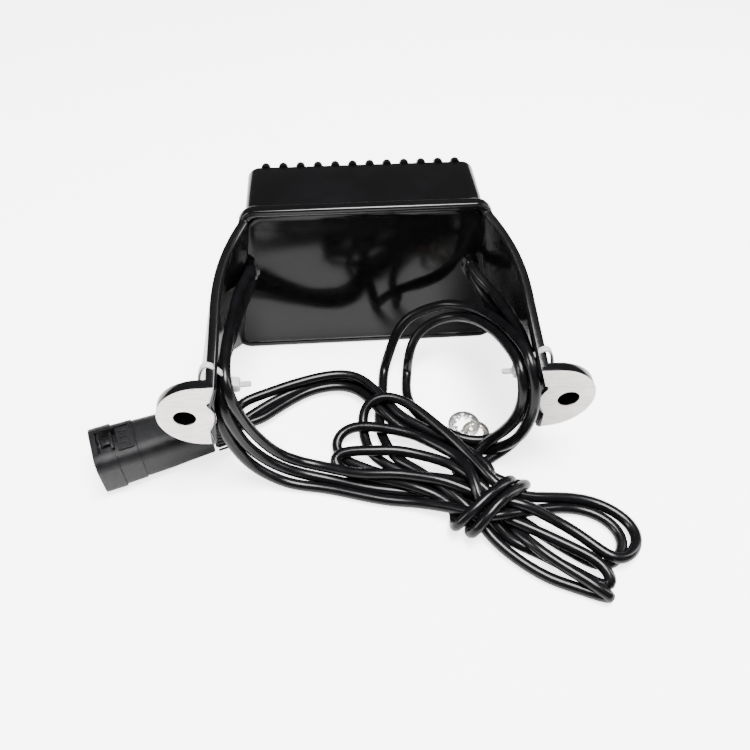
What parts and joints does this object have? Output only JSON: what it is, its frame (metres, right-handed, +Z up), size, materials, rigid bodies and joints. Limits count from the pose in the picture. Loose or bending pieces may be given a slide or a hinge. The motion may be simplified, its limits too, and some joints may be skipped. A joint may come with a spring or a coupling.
{
  "type": "brake controller unit",
  "caption": "Finned, potted electronic power unit with two splayed mounting legs, tied leads, a sealed plug and two ring terminals.",
  "frame": {"origin": "on the ground under the middle of the box round the housing, legs and ears", "axes": "+Z up, potted face towards -Y, fins towards +Y, ears side by side along X"},
  "size_m": [0.2314, 0.1986, 0.0856],
  "materials": {
    "gloss_black_paint": "gloss",
    "black_potting": "gloss",
    "moulded_plastic": "matte",
    "white_nylon": "satin",
    "black_vinyl": "gloss",
    "seal_rubber": "matte",
    "board_laminate": "satin",
    "plated_steel": "satin",
    "tinned_copper": "satin",
    "zinc_plate": "satin",
    "thermal_pad_grey": "matte",
    "plug_brass": "satin"
  },
  "bodies": {
    "unit": {"finned_housing": "gloss_black_paint", "potting_block": "black_potting", "thermal_pad": "thermal_pad_grey", "rectifier_module_1": "moulded_plastic", "rectifier_module_2": "moulded_plastic", "rectifier_module_3": "moulded_plastic", "rectifier_module_4": "moulded_plastic", "clamp_bar": "plated_steel", "clamp_screw_left": "plated_steel", "clamp_screw_right": "plated_steel", "circuit_board": "board_laminate", "control_chip": "moulded_plastic", "filter_capacitor": "plated_steel", "exit_sleeve_left": "black_vinyl", "exit_sleeve_right": "black_vinyl", "cable_tie_left": "white_nylon", "cable_tie_right": "white_nylon", "tied_hank": "black_vinyl", "ring_terminal_star": "zinc_plate", "ring_terminal_plain": "tinned_copper", "plug_housing": "moulded_plastic", "plug_seal": "seal_rubber", "plug_terminal_1": "plug_brass", "plug_terminal_2": "plug_brass", "lead_left_1": "black_vinyl", "lead_left_2": "black_vinyl", "lead_right_1": "black_vinyl", "lead_right_2": "black_vinyl", "loop_lead_1": "black_vinyl", "loop_lead_2": "black_vinyl", "plug_lead_1": "black_vinyl", "plug_lead_2": "black_vinyl", "ring_sleeve_star": "black_vinyl", "ring_sleeve_plain": "black_vinyl"},
    "rear_lock": {"plug_rear_lock": "moulded_plastic"}
  },
  "joints": [
    {"name": "rear_lock_slide", "type": "slide", "parent": "unit", "child": "rear_lock", "axis": [0.9489, 0.3156, 0], "range_m": [0, 0.004]}
  ]
}
